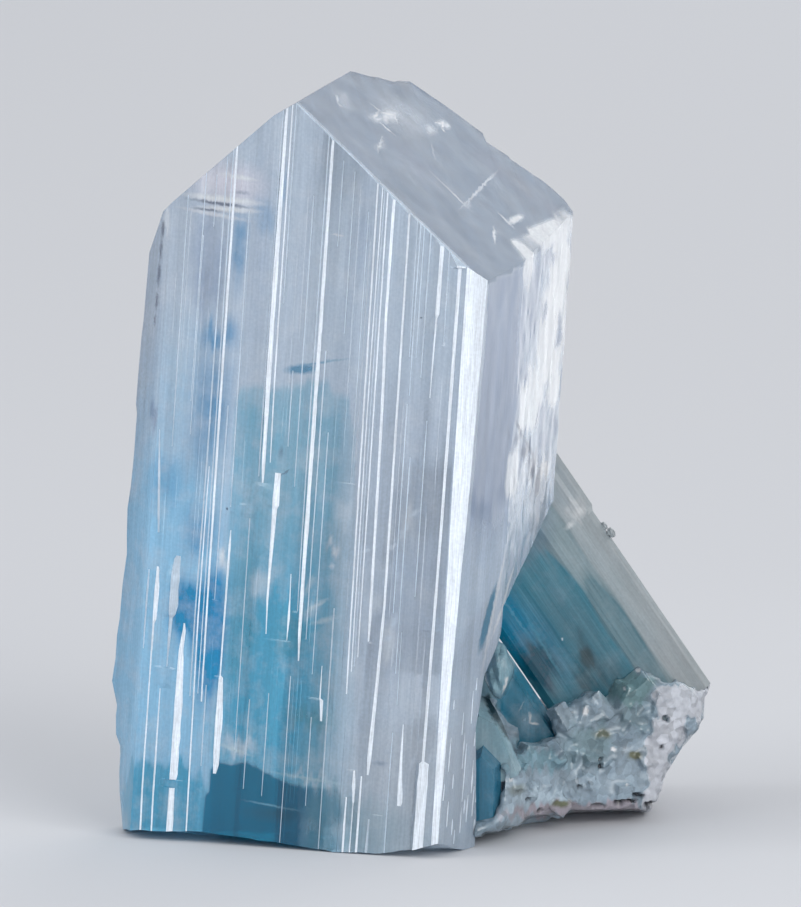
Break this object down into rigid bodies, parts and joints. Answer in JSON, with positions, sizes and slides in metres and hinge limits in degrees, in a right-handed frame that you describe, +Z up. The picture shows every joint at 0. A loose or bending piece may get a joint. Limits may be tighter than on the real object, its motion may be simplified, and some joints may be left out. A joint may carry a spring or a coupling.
{
  "type": "euclase crystal group",
  "caption": "Natural crystal group: a tall striated pale blue euclase prism, a leaning teal prism behind it and small crystals, grown on a scrap of granular matrix.",
  "frame": {"origin": "bottom centre of the group's box, on the surface it rests on", "axes": "+Z up, along the group's longest extent; the broad striated face looks towards -Y, turned a little to -X"},
  "size_m": [0.0312, 0.0222, 0.04],
  "materials": {
    "euclase": "clear to milky natural crystal faces, finely striated, pale blue to teal",
    "matrix": "rough granular rock, cream to pinkish grey with dark specks"
  },
  "bodies": {
    "root": {"euclase_crystals": "euclase", "matrix": "matrix"}
  },
  "joints": []
}
